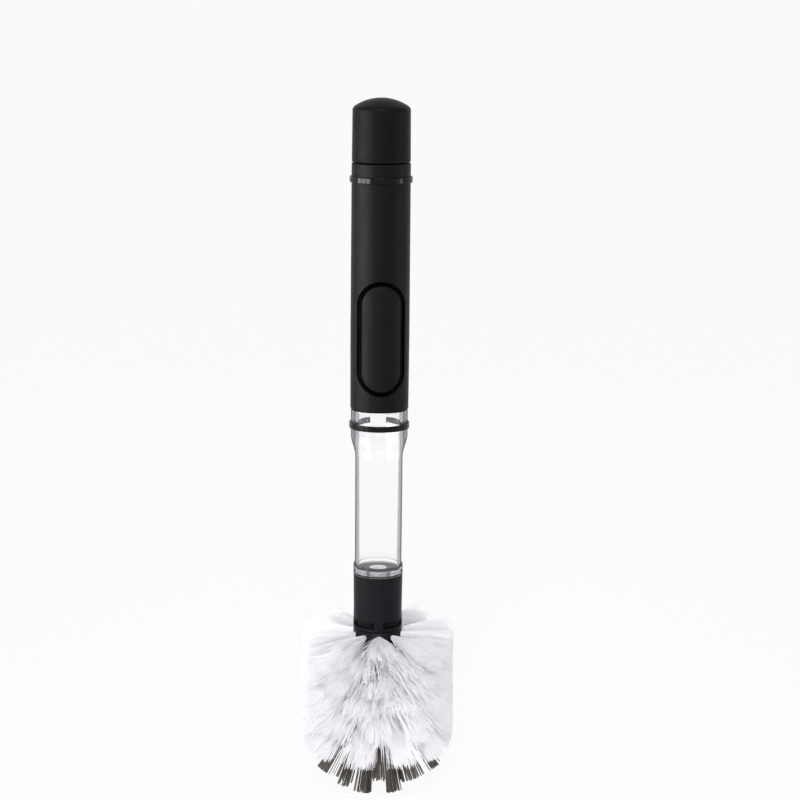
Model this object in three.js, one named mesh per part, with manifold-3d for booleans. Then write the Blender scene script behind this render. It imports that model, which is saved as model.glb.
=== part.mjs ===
// Soap-dispensing bottle brush, in millimetres.
// The brush's axis is Z with the cap up, the bristle tips stand on z = 0 and the button faces -Y.
// Turning angles are counted from the front, -Y, towards +X.
import * as THREE from "three";
import { mergeVertices } from "three/addons/utils/BufferGeometryUtils.js";
import Module from "manifold-3d";

const wasm = await Module();
wasm.setup();

// Fits and facets
const FIT = 0.2; // gap between pieces that seat on each other
const CUT_GAP = 0.3; // gap round a piece that fills another piece's opening
const FACETS = 32; // facets round a turned piece
const SEAL_FACETS = 24; // facets round a small seal or valve
const END_STEPS = 8; // steps round each half circle of an oval
const THROUGH = 30; // reach of a cutting tool past what it cuts
const MERGE_DISTANCE = 1e-3;
const FRONT = -90; // the front's angle in the XY plane

// Brush head, from the bristle tips up to the collar
const HEAD_HEIGHT = 83;
const HEAD_RADIUS = 37.9; // the white bristles are trimmed to this cylinder
const HEAD_ROUND = 45.5; // and lower down to a ball of this radius about the core's round end
const CORE_RADIUS = 11.9;
const DOME_HEIGHT = 50; // centre of the core's round end above the bristle tips
const SLICE_WALL = 1; // outer layer of the core that the tufts are set in
const SOAP_CHANNEL_RADIUS = 2.2;
const FUNNEL_RADIUS = 5.4; // the soap channel's mouth, under the valve

// Tufts: rows of white bristles down the core, then two rings of grey ones on its round end
const FIRST_ROW_DROP = 2.8; // from the core's top edge, measured along its surface
const LAST_ROW_SLOPE = 18.8; // degrees round the core's end, below level
const ROW_TILTS = [0, 7, 13.5, 21, 30, 40]; // degrees below level
const ROWS_PER_SLICE = 2;
const TUFTS_PER_ROW = 10;
const WHITE_FAN = { turn: 10, tilt: 4.5 }; // degrees from a tuft's middle to its outer strands
const WHITE_RING_STRANDS = 3; // strands round each white tuft's middle one
const OUTER_RING = { slope: 46, tilt: 53.6, count: 10, start: 0, length: 36, fan: { turn: 9, tilt: 3.5 } };
const INNER_RING = { slope: 66, tilt: 77.4, count: 5, start: -30, fan: { turn: 20, tilt: 3 } };
const GREY_RING_STRANDS = 4;
const TUFT_SPREAD = 1; // from a tuft's middle to its outer strands, at the root
const STRAND_RADIUS = 0.35;
const STRAND_SIDES = 3;
const STRAND_ROOT = 0.5; // length of a strand inside the core
const TIP_TRIM = 0.5; // cut off the inner ring's ends, so that they stand flat

// Collar between the head and the reservoir
const COLLAR_HEIGHT = 27.4;
const COLLAR_TOP_RADIUS = 12.1;
const COLLAR_WAIST_RADIUS = 11.87;
const COLLAR_FOOT_RADIUS = 12.05;
const COLLAR_WAIST_RISE = 11; // above the collar's foot
const COLLAR_SOCKET_WALL = 1.85; // round the head's plug
const COLLAR_WEB = 1.6;
const COLLAR_WEB_BORE = 6.5;
const WINDOW_RISE = 1.9; // above the collar's foot
const WINDOW_HEIGHT = 3.2;
const WINDOW_COUNT = 4;
const WINDOW_BRIDGE = 21; // degrees left standing between two windows
const LUG_INSET = 8; // degrees from a window's end to the lug in it
const LUG_SINK = 1.2; // from the collar's outside to a lug's face

// Clear reservoir
const RESERVOIR_RADIUS = 11.55;
const RESERVOIR_WALL = 1.5;
const RESERVOIR_DRAFT = 0.45; // the bore is this much wider at its mouth
const FLANGE_RADIUS = 12.15;
const FLANGE_HEIGHT = 5;
const FLANGE_GROOVE = { width: 0.8, depth: 0.4 };
const NARROW_HEIGHT = 53.8;
const TAPER_HEIGHT = 11.4;
const WIDE_RADIUS = 13.87;
const WIDE_HEIGHT = 12.5;
const SOCKET_HEIGHT = 5.5; // the stretch that holds the handle liner's plug
const SPIGOT_RADIUS = 10.4;
const SPIGOT_DEPTH = 10.6; // the stretch inside the collar
const SPIGOT_WALL = 2.2;
const FLOOR_RISE = 2.9; // inner floor above the flange's lower face
const FLOOR_THICKNESS = 2.6;
const FLOOR_FILLET = 2;
const OUTLET_RADIUS = 4.3;

// Outlet valve and seals
const VALVE_FLANGE = 1.3;
const VALVE_NOSE_RADIUS = 2.4;
const VALVE_NOSE_LENGTH = 4.5;
const VALVE_BASE_RADIUS = 5.1; // of the nose, where it leaves the flange
const SEAT_HEIGHT = 2;
const COLLAR_SEAL_HEIGHT = 1.2;
const JOINT_SEAL_RADIUS = 0.5; // of its round section
const SEAL_SIDES = 6;

// Handle: soft grip over a rigid liner
const GRIP_HEIGHT = 119.1;
const GRIP_TOP_RADIUS = 14.17;
const GRIP_MIDDLE_RADIUS = 14.32;
const GRIP_FOOT_RADIUS = 14.15;
const GRIP_BORE = 12;
const GRIP_FOOT_ROUND = 0.6;
const GRIP_TOP_ROUND = 0.35;
const LINER_WALL = 2.4;
const PLUG_LENGTH = 4.7;
const PLUG_WALL = 1.9;

// Filler neck and cap
const NECK_RADIUS = 10.2;
const NECK_BORE = 8.2;
const NECK_HEIGHT = 8.6;
const THREAD_ROOM = 0.6; // between the neck and the cap's bore, taken up by the thread
const CAP_SEAM = 0.5;
const CAP_SIDE_HEIGHT = 25.7;
const CAP_DOME_HEIGHT = 4.7;
const CAP_FOOT_RADIUS = 14.1;
const CAP_TOP_RADIUS = 13.92;
const CAP_EDGE_ROUND = 0.9;
const CAP_FOOT_ROUND = 0.35;
const CAP_WALL = 1.8;
const CAP_LINER_WALL = 1.3;
const CAP_WEB = 1.4;
const GASKET_HEIGHT = 1.5;
const GASKET_BORE = 7.6;

// Button and its pump
const BUTTON_RISE = 35.7; // middle of the button above the grip's lower edge
const PAD_WIDTH = 18.6;
const PAD_LENGTH = 51.5;
const PAD_RADIUS = 14.25; // of its curved face, about the brush's axis
const PAD_EDGE = 0.9; // thickness at its long edges
const CHANNEL_WIDTH = 2.2; // groove round the pad
const BUTTON_TRAVEL = 2.5;
const PUSHER_WIDTH = 6.5;
const PUSHER_LENGTH = 32;
const PUSHER_HEIGHT = 0.7;
const PUSHER_SINK = 0.4; // part of the pusher inside the pad
const FRAME_WIDTH = 15.4;
const FRAME_LENGTH = 47;
const FRAME_RIM = 1.9;
const FRAME_THICKNESS = 0.9;
const DIAPHRAGM_THICKNESS = 0.7;
const PUMP_WALL = 1.5; // flat wall behind the diaphragm
const PORT_WIDTH = 7;
const PORT_LENGTH = 34;

// Bands round the handle and the reservoir
const BAND_HEIGHT = 2.9;
const BAND_THICKNESS = 0.65;
const UPPER_BAND_DROP = 7.7; // middle of the band below the grip's top edge
const LOWER_BAND_DROP = 7.9; // middle of the band below the reservoir's shoulder
const BAND_OPENING = 40; // degrees left open at the back

// Heights of the seats, from the bristle tips up
const collarTop = HEAD_HEIGHT + COLLAR_HEIGHT;
const flangeBase = collarTop + FIT;
const flangeTop = flangeBase + FLANGE_HEIGHT;
const taperBase = flangeTop + NARROW_HEIGHT;
const taperTop = taperBase + TAPER_HEIGHT;
const shoulder = taperTop + WIDE_HEIGHT;
const socketTop = shoulder + SOCKET_HEIGHT;
const gripBase = shoulder + FIT;
const gripTop = gripBase + GRIP_HEIGHT;
const neckTop = gripTop + NECK_HEIGHT;
const capBase = gripTop + CAP_SEAM;
const capShoulder = capBase + CAP_SIDE_HEIGHT;
const capTop = capShoulder + CAP_DOME_HEIGHT;
const spigotBase = collarTop - SPIGOT_DEPTH;
const floorTop = flangeBase + FLOOR_RISE;
const floorUnder = floorTop - FLOOR_THICKNESS;
const webTop = spigotBase - COLLAR_SEAL_HEIGHT - 2 * FIT;
const webUnder = webTop - COLLAR_WEB;
const buttonMiddle = gripBase + BUTTON_RISE;

// Radii that one piece takes from another
const reservoirBore = RESERVOIR_RADIUS - RESERVOIR_WALL;
const socketBore = reservoirBore + RESERVOIR_DRAFT;
const spigotBore = SPIGOT_RADIUS - SPIGOT_WALL;
const collarBore = SPIGOT_RADIUS + FIT;
const collarSocket = COLLAR_FOOT_RADIUS - COLLAR_SOCKET_WALL;
const linerRadius = GRIP_BORE - FIT;
const linerBore = linerRadius - LINER_WALL;
const plugRadius = socketBore - FIT;
const plugBore = plugRadius - PLUG_WALL;
const capLinerBore = NECK_RADIUS + THREAD_ROOM;
const capLinerRadius = capLinerBore + CAP_LINER_WALL;
const capBore = capLinerRadius + FIT;

// Depths of the pump's layers in front of the axis, from the pad's back inwards
const padBack = Math.sqrt(PAD_RADIUS ** 2 - (PAD_WIDTH / 2) ** 2) - PAD_EDGE;
const frameFront = padBack - BUTTON_TRAVEL - CUT_GAP;
const frameBack = frameFront - FRAME_THICKNESS;
const rimFront = frameBack - FIT;
const rimBack = rimFront - DIAPHRAGM_THICKNESS;
const pumpFace = rimBack - FIT;
const pumpBack = pumpFace - PUMP_WALL;
const crown = padBack - PUSHER_HEIGHT - FIT;

const radians = THREE.MathUtils.degToRad;

// Closed solid of a geometry, with its doubled points merged and its empty faces left out
function solid(geometry) {
  const bare = new THREE.BufferGeometry();
  bare.setAttribute("position", geometry.getAttribute("position"));
  bare.setIndex(geometry.index);
  const merged = mergeVertices(bare, MERGE_DISTANCE);
  const corners = [];
  for (let i = 0; i < merged.index.count; i += 3) {
    const [a, b, c] = merged.index.array.subarray(i, i + 3);
    if (a !== b && b !== c && c !== a) corners.push(a, b, c);
  }
  const vertProperties = merged.getAttribute("position").array;
  const triVerts = new Uint32Array(corners);
  return new wasm.Manifold(new wasm.Mesh({ numProp: 3, vertProperties, triVerts }));
}

// Solid turned about the Z axis from a closed outline of [radius, height] points
function turned(outline, facets = FACETS) {
  const points = outline.map(([r, z]) => new THREE.Vector2(r, z));
  if (THREE.ShapeUtils.isClockWise(points)) points.reverse();
  points.push(points[0].clone());
  return solid(new THREE.LatheGeometry(points, facets).rotateX(Math.PI / 2));
}

// Tube or ring with square edges
function ring(inner, outer, base, top, facets = FACETS) {
  return turned([[inner, base], [outer, base], [outer, top], [inner, top]], facets);
}

// Points of a round corner between two points, drawn towards the corner
function rounded(from, corner, to, steps = 2) {
  const [a, b, c] = [from, corner, to].map(([r, z]) => new THREE.Vector2(r, z));
  return new THREE.QuadraticBezierCurve(a, b, c).getPoints(steps).map((p) => [p.x, p.y]);
}

// Points of an arc about a centre, between two angles above level
function arc(r, z, radius, from, to, steps) {
  return Array.from({ length: steps + 1 }, (_, i) => {
    const angle = radians(from + ((to - from) * i) / steps);
    return [r + radius * Math.cos(angle), z + radius * Math.sin(angle)];
  });
}

// Upright oval outline with half-circle ends
function oval(width, length) {
  const r = width / 2;
  const reach = length / 2 - r;
  const shape = new THREE.Shape();
  shape.absarc(0, reach, r, 0, Math.PI);
  shape.absarc(0, -reach, r, Math.PI, 2 * Math.PI);
  return shape;
}

// Upright oval plate at the button's height, between two depths in front of the axis
function ovalPlate(width, length, back, front, bevel = 0) {
  const geometry = new THREE.ExtrudeGeometry(oval(width - 2 * bevel, length - 2 * bevel), {
    depth: front - back - bevel,
    curveSegments: END_STEPS,
    bevelEnabled: bevel > 0,
    bevelThickness: bevel,
    bevelSize: bevel,
    bevelSegments: 2,
  });
  const placed = solid(geometry.rotateX(Math.PI / 2).translate(0, -back, buttonMiddle));
  return bevel > 0 ? placed.subtract(slab(-back, THROUGH)) : placed;
}

// Upright slab across the whole brush, between two depths on the Y axis
function slab(low, high, base = 0, top = capTop) {
  const box = new THREE.BoxGeometry(2 * THROUGH, high - low, top - base);
  return solid(box.translate(0, (low + high) / 2, (base + top) / 2));
}

// Part of a ring between two turning angles
function sector(inner, outer, base, top, from, to) {
  const [start, end] = [radians(FRONT + from), radians(FRONT + to)];
  const shape = new THREE.Shape();
  shape.absarc(0, 0, outer, start, end);
  shape.absarc(0, 0, inner, end, start, true);
  const geometry = new THREE.ExtrudeGeometry(shape, {
    depth: top - base,
    curveSegments: Math.ceil(((to - from) * FACETS) / 360),
    bevelEnabled: false,
  });
  return solid(geometry.translate(0, 0, base));
}

const brush = new THREE.Group();

// Adds one piece to the brush
function piece(name, shape, color, roughness, metalness = 0) {
  const made = shape.getMesh();
  const geometry = new THREE.BufferGeometry();
  geometry.setAttribute("position", new THREE.BufferAttribute(made.vertProperties, 3));
  geometry.setIndex(new THREE.BufferAttribute(made.triVerts, 1));
  geometry.computeVertexNormals();
  const mesh = new THREE.Mesh(geometry, new THREE.MeshStandardMaterial({ color, roughness, metalness }));
  mesh.name = name;
  brush.add(mesh);
}

const SOFT_BLACK = 0x252223;
const HARD_BLACK = 0x222226;
const BAND_BLACK = 0x151516;
const RUBBER_BLACK = 0x1a1a1b;
const CLEAR = 0xe8edf2;
const SILICONE_WHITE = 0xf2f2f0;
const NYLON_WHITE = 0xeceaf2;
const NYLON_GREY = 0x807a76;

// Cap: soft domed shell over a rigid threaded liner, with a gasket on the neck's rim

// Height of the cap's dome at a radius, this far under its outer face
function domeAt(radius, depth) {
  const curve = (CAP_TOP_RADIUS ** 2 + CAP_DOME_HEIGHT ** 2) / (2 * CAP_DOME_HEIGHT);
  return capTop - curve + Math.sqrt((curve - depth) ** 2 - radius ** 2);
}

// Points of the cap's dome from one radius to another
function domePoints(from, to, depth, steps) {
  return Array.from({ length: steps + 1 }, (_, i) => {
    const r = from + ((to - from) * i) / steps;
    return [r, domeAt(r, depth)];
  });
}

function capShell() {
  const edge = CAP_TOP_RADIUS - CAP_EDGE_ROUND;
  const side = [CAP_TOP_RADIUS, capShoulder - CAP_EDGE_ROUND];
  return turned([
    ...domePoints(0, capBore, CAP_WALL, 3),
    [capBore, capBase],
    ...rounded([CAP_FOOT_RADIUS - CAP_FOOT_ROUND, capBase], [CAP_FOOT_RADIUS, capBase],
      [CAP_FOOT_RADIUS, capBase + CAP_FOOT_ROUND]),
    ...rounded(side, [CAP_TOP_RADIUS, capShoulder], [edge, domeAt(edge, 0)]),
    ...domePoints(edge, 0, 0, 4).slice(1),
  ]);
}

function capLiner() {
  const ceiling = neckTop + GASKET_HEIGHT + 2 * FIT;
  const top = domeAt(capLinerRadius, CAP_WALL) - FIT;
  return turned([
    [0, ceiling], [capLinerBore, ceiling],
    [capLinerBore, capBase], [capLinerRadius, capBase],
    [capLinerRadius, top], [capLinerBore, top],
    [capLinerBore, ceiling + CAP_WEB], [0, ceiling + CAP_WEB],
  ]);
}

piece("cap_shell", capShell(), SOFT_BLACK, 0.75);
piece("cap_liner", capLiner(), HARD_BLACK, 0.5);
piece("cap_gasket", ring(GASKET_BORE, capLinerBore - FIT, neckTop + FIT, neckTop + FIT + GASKET_HEIGHT),
  SILICONE_WHITE, 0.5);

// Handle: soft grip with an oval window, over a rigid liner with the filler neck and the pump's flat wall

function handleGrip() {
  const foot = GRIP_FOOT_RADIUS;
  const top = GRIP_TOP_RADIUS;
  const sleeve = turned([
    [GRIP_BORE, gripBase],
    ...rounded([foot - GRIP_FOOT_ROUND, gripBase], [foot, gripBase], [foot, gripBase + GRIP_FOOT_ROUND]),
    [GRIP_MIDDLE_RADIUS, buttonMiddle],
    ...rounded([top, gripTop - GRIP_TOP_ROUND], [top, gripTop], [top - GRIP_TOP_ROUND, gripTop]),
    [GRIP_BORE, gripTop],
  ]);
  const window = ovalPlate(PAD_WIDTH + 2 * CHANNEL_WIDTH, PAD_LENGTH + 2 * CHANNEL_WIDTH, 0, THROUGH);
  return sleeve.subtract(window);
}

function handleLiner() {
  const pumpReach = PAD_LENGTH / 2 + CHANNEL_WIDTH;
  const pumpFoot = buttonMiddle - pumpReach;
  const pumpTop = buttonMiddle + pumpReach;
  const bodyFoot = socketTop + FIT;
  const plugFoot = bodyFoot - PLUG_LENGTH;
  const grooveMiddle = bodyFoot - PLUG_LENGTH / 2;
  const grooveReach = JOINT_SEAL_RADIUS + CUT_GAP;
  const grooveFloor = socketBore - 2 * JOINT_SEAL_RADIUS - FIT;
  const outside = turned([
    [0, plugFoot], [plugRadius, plugFoot],
    [plugRadius, grooveMiddle - grooveReach], [grooveFloor, grooveMiddle - grooveReach],
    [grooveFloor, grooveMiddle + grooveReach], [plugRadius, grooveMiddle + grooveReach],
    [plugRadius, bodyFoot], [linerRadius, bodyFoot],
    [linerRadius, gripTop], [NECK_RADIUS, gripTop],
    [NECK_RADIUS, neckTop], [0, neckTop],
  ]);
  const bore = turned([
    [0, plugFoot - THROUGH], [plugBore, plugFoot - THROUGH],
    [plugBore, bodyFoot], [linerBore, bodyFoot + linerBore - plugBore],
    [linerBore, gripTop - linerBore + NECK_BORE], [NECK_BORE, gripTop],
    [NECK_BORE, neckTop + THROUGH], [0, neckTop + THROUGH],
  ]);
  const pumpWall = slab(-THROUGH, -pumpBack, pumpFoot - PUMP_WALL, pumpTop + PUMP_WALL);
  const pocket = slab(-THROUGH, -pumpFace, pumpFoot, pumpTop);
  const port = ovalPlate(PORT_WIDTH, PORT_LENGTH, 0, THROUGH);
  return outside.subtract(bore.subtract(pumpWall)).subtract(pocket).subtract(port);
}

// O-ring in the groove of the handle liner's plug
function jointSeal() {
  const middle = socketTop + FIT - PLUG_LENGTH / 2;
  const r = socketBore - JOINT_SEAL_RADIUS - FIT / 2;
  return turned(arc(r, middle, JOINT_SEAL_RADIUS, 0, 360, SEAL_SIDES).slice(1));
}

piece("handle_grip", handleGrip(), SOFT_BLACK, 0.75);
piece("handle_liner", handleLiner(), HARD_BLACK, 0.5);
piece("joint_seal", jointSeal(), RUBBER_BLACK, 0.6);

// Button: curved pad over a domed rubber diaphragm that a frame clamps to the pump's flat wall

function buttonPad() {
  const face = turned([[0, 0], [PAD_RADIUS, 0], [PAD_RADIUS, capTop], [0, capTop]]);
  const pad = ovalPlate(PAD_WIDTH, PAD_LENGTH, padBack, THROUGH).intersect(face);
  const pusher = ovalPlate(PUSHER_WIDTH, PUSHER_LENGTH, padBack - PUSHER_HEIGHT, padBack + PUSHER_SINK);
  return pad.add(pusher);
}

function buttonDiaphragm() {
  const rim = ovalPlate(FRAME_WIDTH, FRAME_LENGTH, rimBack, rimFront);
  const width = FRAME_WIDTH - 2 * (FRAME_RIM + CUT_GAP);
  const length = FRAME_LENGTH - 2 * (FRAME_RIM + CUT_GAP);
  const rise = crown - rimBack;
  const skin = DIAPHRAGM_THICKNESS;
  const dome = ovalPlate(width, length, rimBack, crown, rise - skin);
  const hollow = ovalPlate(width - 2 * skin, length - 2 * skin, rimBack - skin, crown - skin, rise - skin);
  return rim.add(dome).subtract(hollow);
}

function diaphragmFrame() {
  const plate = ovalPlate(FRAME_WIDTH, FRAME_LENGTH, frameBack, frameFront);
  return plate.subtract(ovalPlate(FRAME_WIDTH - 2 * FRAME_RIM, FRAME_LENGTH - 2 * FRAME_RIM, 0, THROUGH));
}

piece("button_pad", buttonPad(), SOFT_BLACK, 0.65);
piece("button_diaphragm", buttonDiaphragm(), RUBBER_BLACK, 0.7);
piece("diaphragm_frame", diaphragmFrame(), HARD_BLACK, 0.5);

// Clear reservoir, with a flanged foot over the collar and a wide shoulder under the grip
function reservoir() {
  const grooveBase = flangeBase + (FLANGE_HEIGHT - FLANGE_GROOVE.width) / 2;
  const grooveTop = grooveBase + FLANGE_GROOVE.width;
  const grooveRadius = FLANGE_RADIUS - FLANGE_GROOVE.depth;
  const middle = (RESERVOIR_RADIUS + WIDE_RADIUS) / 2;
  const taperMiddle = (taperBase + taperTop) / 2;
  return turned([
    [spigotBore, spigotBase], [SPIGOT_RADIUS, spigotBase],
    [SPIGOT_RADIUS, flangeBase], [FLANGE_RADIUS, flangeBase],
    [FLANGE_RADIUS, grooveBase], [grooveRadius, grooveBase],
    [grooveRadius, grooveTop], [FLANGE_RADIUS, grooveTop],
    [FLANGE_RADIUS, flangeTop - FLANGE_GROOVE.depth], [RESERVOIR_RADIUS, flangeTop],
    ...rounded([RESERVOIR_RADIUS, taperBase], [RESERVOIR_RADIUS, taperBase + TAPER_HEIGHT / 4],
      [middle, taperMiddle]),
    ...rounded([middle, taperMiddle], [WIDE_RADIUS, taperTop - TAPER_HEIGHT / 4],
      [WIDE_RADIUS, taperTop]).slice(1),
    [WIDE_RADIUS, shoulder], [linerRadius, shoulder],
    [linerRadius, socketTop], [socketBore, socketTop],
    [socketBore, taperTop],
    ...rounded([reservoirBore, floorTop + FLOOR_FILLET], [reservoirBore, floorTop],
      [reservoirBore - FLOOR_FILLET, floorTop]),
    [OUTLET_RADIUS, floorTop], [OUTLET_RADIUS, floorUnder], [spigotBore, floorUnder],
  ]);
}

piece("reservoir", reservoir(), CLEAR, 0.08);

// Bands with rounded outer edges, open at the back
function band(inner, middle) {
  const outer = inner + BAND_THICKNESS;
  const [base, top] = [middle - BAND_HEIGHT / 2, middle + BAND_HEIGHT / 2];
  const half = BAND_THICKNESS / 2;
  const loop = turned([
    [inner, base], [outer - half, base], [outer, base + half],
    [outer, top - half], [outer - half, top], [inner, top],
  ]);
  const reach = BAND_OPENING / 2;
  return loop.subtract(sector(inner - half, THROUGH, base - half, top + half, 180 - reach, 180 + reach));
}

piece("upper_band", band(GRIP_MIDDLE_RADIUS + FIT, gripTop - UPPER_BAND_DROP), BAND_BLACK, 0.3);
piece("lower_band", band(WIDE_RADIUS + FIT, shoulder - LOWER_BAND_DROP), BAND_BLACK, 0.3);

// Outlet: silicone valve pressed into the spigot, with its top through a seat ring and the reservoir's floor

const seatTop = floorUnder - FIT;
const seatUnder = seatTop - SEAT_HEIGHT;
const valveTop = seatUnder - FIT;
const valveUnder = valveTop - VALVE_FLANGE;
const valveRadius = spigotBore - FIT;

function slitValve() {
  const boss = OUTLET_RADIUS - CUT_GAP;
  return turned([
    [0, valveUnder - VALVE_NOSE_LENGTH], [VALVE_NOSE_RADIUS, valveUnder - VALVE_NOSE_LENGTH],
    [VALVE_BASE_RADIUS, valveUnder], [valveRadius, valveUnder], [valveRadius, valveTop],
    [boss, valveTop], [boss, floorTop - FIT], [0, floorTop - FIT],
  ], SEAL_FACETS);
}

piece("slit_valve", slitValve(), SILICONE_WHITE, 0.45);
piece("valve_seat", ring(OUTLET_RADIUS, valveRadius, seatUnder, seatTop, SEAL_FACETS), HARD_BLACK, 0.5);

// Collar: seats the reservoir's spigot above a web and the head's plug below it

const windowBase = HEAD_HEIGHT + WINDOW_RISE;
const windowSpan = 360 / WINDOW_COUNT - WINDOW_BRIDGE;
const windowStarts = Array.from({ length: WINDOW_COUNT }, (_, i) =>
  (i * 360) / WINDOW_COUNT + WINDOW_BRIDGE / 2,
);

function collar() {
  const foot = HEAD_HEIGHT + FIT;
  const sleeve = turned([
    [collarSocket, foot], [COLLAR_FOOT_RADIUS, foot],
    [COLLAR_WAIST_RADIUS, HEAD_HEIGHT + COLLAR_WAIST_RISE],
    [COLLAR_TOP_RADIUS, collarTop], [collarBore, collarTop],
    [collarBore, webTop], [COLLAR_WEB_BORE, webTop],
    [COLLAR_WEB_BORE, webUnder], [collarSocket, webUnder],
  ]);
  const inside = collarSocket - COLLAR_SOCKET_WALL;
  const cuts = windowStarts.map((start) =>
    sector(inside, THROUGH, windowBase, windowBase + WINDOW_HEIGHT, start, start + windowSpan),
  );
  return cuts.reduce((made, cut) => made.subtract(cut), sleeve);
}

piece("collar", collar(), HARD_BLACK, 0.45);
piece("collar_seal",
  ring(spigotBore, SPIGOT_RADIUS, webTop + FIT, webTop + FIT + COLLAR_SEAL_HEIGHT, SEAL_FACETS),
  RUBBER_BLACK, 0.6);

// Head stem: plug with snap lugs in the collar's windows, core under the tufts and the soap channel

const stemRadius = CORE_RADIUS - SLICE_WALL - FIT;

function headStem() {
  const plug = collarSocket - CUT_GAP;
  const plugTop = webUnder - FIT;
  const funnel = FUNNEL_RADIUS - SOAP_CHANNEL_RADIUS;
  const dome = THREE.MathUtils.radToDeg(Math.acos(SOAP_CHANNEL_RADIUS / stemRadius));
  const stem = turned([
    [SOAP_CHANNEL_RADIUS, plugTop - funnel], ...arc(0, DOME_HEIGHT, stemRadius, -dome, 0, 4),
    [stemRadius, HEAD_HEIGHT - FIT], [plug, HEAD_HEIGHT - FIT],
    [plug, plugTop], [FUNNEL_RADIUS, plugTop],
  ]);
  const lugFace = COLLAR_WAIST_RADIUS - LUG_SINK;
  const lugs = windowStarts.map((start) =>
    sector(plug - SLICE_WALL, lugFace, windowBase + CUT_GAP, windowBase + WINDOW_HEIGHT - CUT_GAP,
      start + LUG_INSET, start + windowSpan - LUG_INSET),
  );
  return lugs.reduce((made, lug) => made.add(lug), stem);
}

piece("head_stem", headStem(), HARD_BLACK, 0.5);

// Bristles: straight strands fanned out from tufts, each group on its own slice of the core's outer layer

const barrel = HEAD_HEIGHT - DOME_HEIGHT;
const lastRowDrop = barrel + CORE_RADIUS * radians(LAST_ROW_SLOPE);
const rowPitch = (lastRowDrop - FIRST_ROW_DROP) / (ROW_TILTS.length - 1);

// Point on the core's surface at a turning angle, this far down from its top edge
function onCore(turn, drop) {
  const slope = Math.max(0, drop - barrel) / CORE_RADIUS;
  const r = CORE_RADIUS * Math.cos(slope);
  const z = HEAD_HEIGHT - Math.min(drop, barrel) - CORE_RADIUS * Math.sin(slope);
  return new THREE.Vector3(r * Math.sin(turn), -r * Math.cos(turn), z);
}

// Direction at a turning angle, tilted below level
function outward(turn, tilt) {
  const level = Math.cos(tilt);
  return new THREE.Vector3(Math.sin(turn) * level, -Math.cos(turn) * level, -Math.sin(tilt));
}

// Three-sided strand from inside the core to its tip
function strand(root, direction, length) {
  const section = new THREE.Shape(
    Array.from({ length: STRAND_SIDES }, (_, i) => {
      const angle = (i * 2 * Math.PI) / STRAND_SIDES;
      return new THREE.Vector2(STRAND_RADIUS * Math.cos(angle), STRAND_RADIUS * Math.sin(angle));
    }),
  );
  const geometry = new THREE.ExtrudeGeometry(section, { depth: length + STRAND_ROOT, bevelEnabled: false });
  const turn = new THREE.Quaternion().setFromUnitVectors(new THREE.Vector3(0, 0, 1), direction);
  const start = root.clone().addScaledVector(direction, -STRAND_ROOT);
  return solid(geometry.applyQuaternion(turn).translate(...start));
}

// Strands of one tuft: one in the middle and a ring round it that fans out
function tuft(turn, drop, tilt, fan, ringCount, lengthOf) {
  const places = [[0, 0]];
  for (let i = 0; i < ringCount; i += 1) {
    const angle = ((i + 0.5) * 2 * Math.PI) / ringCount;
    places.push([Math.sin(angle), Math.cos(angle)]);
  }
  const middle = onCore(turn, drop);
  const reach = Math.hypot(middle.x, middle.y);
  return places.map(([across, down]) => {
    const root = onCore(turn + (across * TUFT_SPREAD) / reach, drop + down * TUFT_SPREAD);
    const direction = outward(turn + across * radians(fan.turn), tilt + down * radians(fan.tilt));
    return strand(root, direction, lengthOf(root, direction));
  });
}

// Length at which a strand reaches the trimmed cylinder
function toCylinder(root, direction) {
  const a = direction.x ** 2 + direction.y ** 2;
  const b = root.x * direction.x + root.y * direction.y;
  const c = root.x ** 2 + root.y ** 2 - HEAD_RADIUS ** 2;
  return (-b + Math.sqrt(b * b - a * c)) / a;
}

// Length at which a strand reaches the trimmed ball about the core's round end
function toBall(root, direction) {
  const from = root.clone().sub(new THREE.Vector3(0, 0, DOME_HEIGHT));
  const b = from.dot(direction);
  return -b + Math.sqrt(b * b - from.lengthSq() + HEAD_ROUND ** 2);
}

// Length of a white strand: trimmed to the cylinder, and to the ball below the core's straight part
function toTrim(root, direction) {
  const side = toCylinder(root, direction);
  const low = root.z + side * direction.z < DOME_HEIGHT;
  return low ? Math.min(side, toBall(root, direction)) : side;
}

// Length at which a strand reaches the trimming depth under the tips' plane
function toFloor(root, direction) {
  return (root.z + TIP_TRIM) / -direction.z;
}

function whiteRow(row) {
  const drop = FIRST_ROW_DROP + row * rowPitch;
  const stagger = row % 2 ? 0.5 : 0;
  return Array.from({ length: TUFTS_PER_ROW }, (_, i) => {
    const turn = ((i + stagger) * 2 * Math.PI) / TUFTS_PER_ROW;
    return tuft(turn, drop, radians(ROW_TILTS[row]), WHITE_FAN, WHITE_RING_STRANDS, toTrim);
  }).flat();
}

function greyRing({ slope, tilt, count, start, fan }, lengthOf) {
  const drop = barrel + CORE_RADIUS * radians(slope);
  return Array.from({ length: count }, (_, i) => {
    const turn = radians(start + (i * 360) / count);
    return tuft(turn, drop, radians(tilt), fan, GREY_RING_STRANDS, lengthOf);
  }).flat();
}

// Slope on the round end between the last white row and the outer grey ring
const splitSlope = (LAST_ROW_SLOPE + OUTER_RING.slope) / 2;
const sliceBore = CORE_RADIUS - SLICE_WALL;
const sliceGap = FIT / 2;

// Straight slice of the core's outer layer round two rows
function barrelSlice(firstRow) {
  const top = firstRow ? HEAD_HEIGHT - FIRST_ROW_DROP - (firstRow - 0.5) * rowPitch : HEAD_HEIGHT;
  const base = HEAD_HEIGHT - FIRST_ROW_DROP - (firstRow + ROWS_PER_SLICE - 0.5) * rowPitch;
  return ring(sliceBore, CORE_RADIUS, base + sliceGap, top - sliceGap);
}

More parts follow.
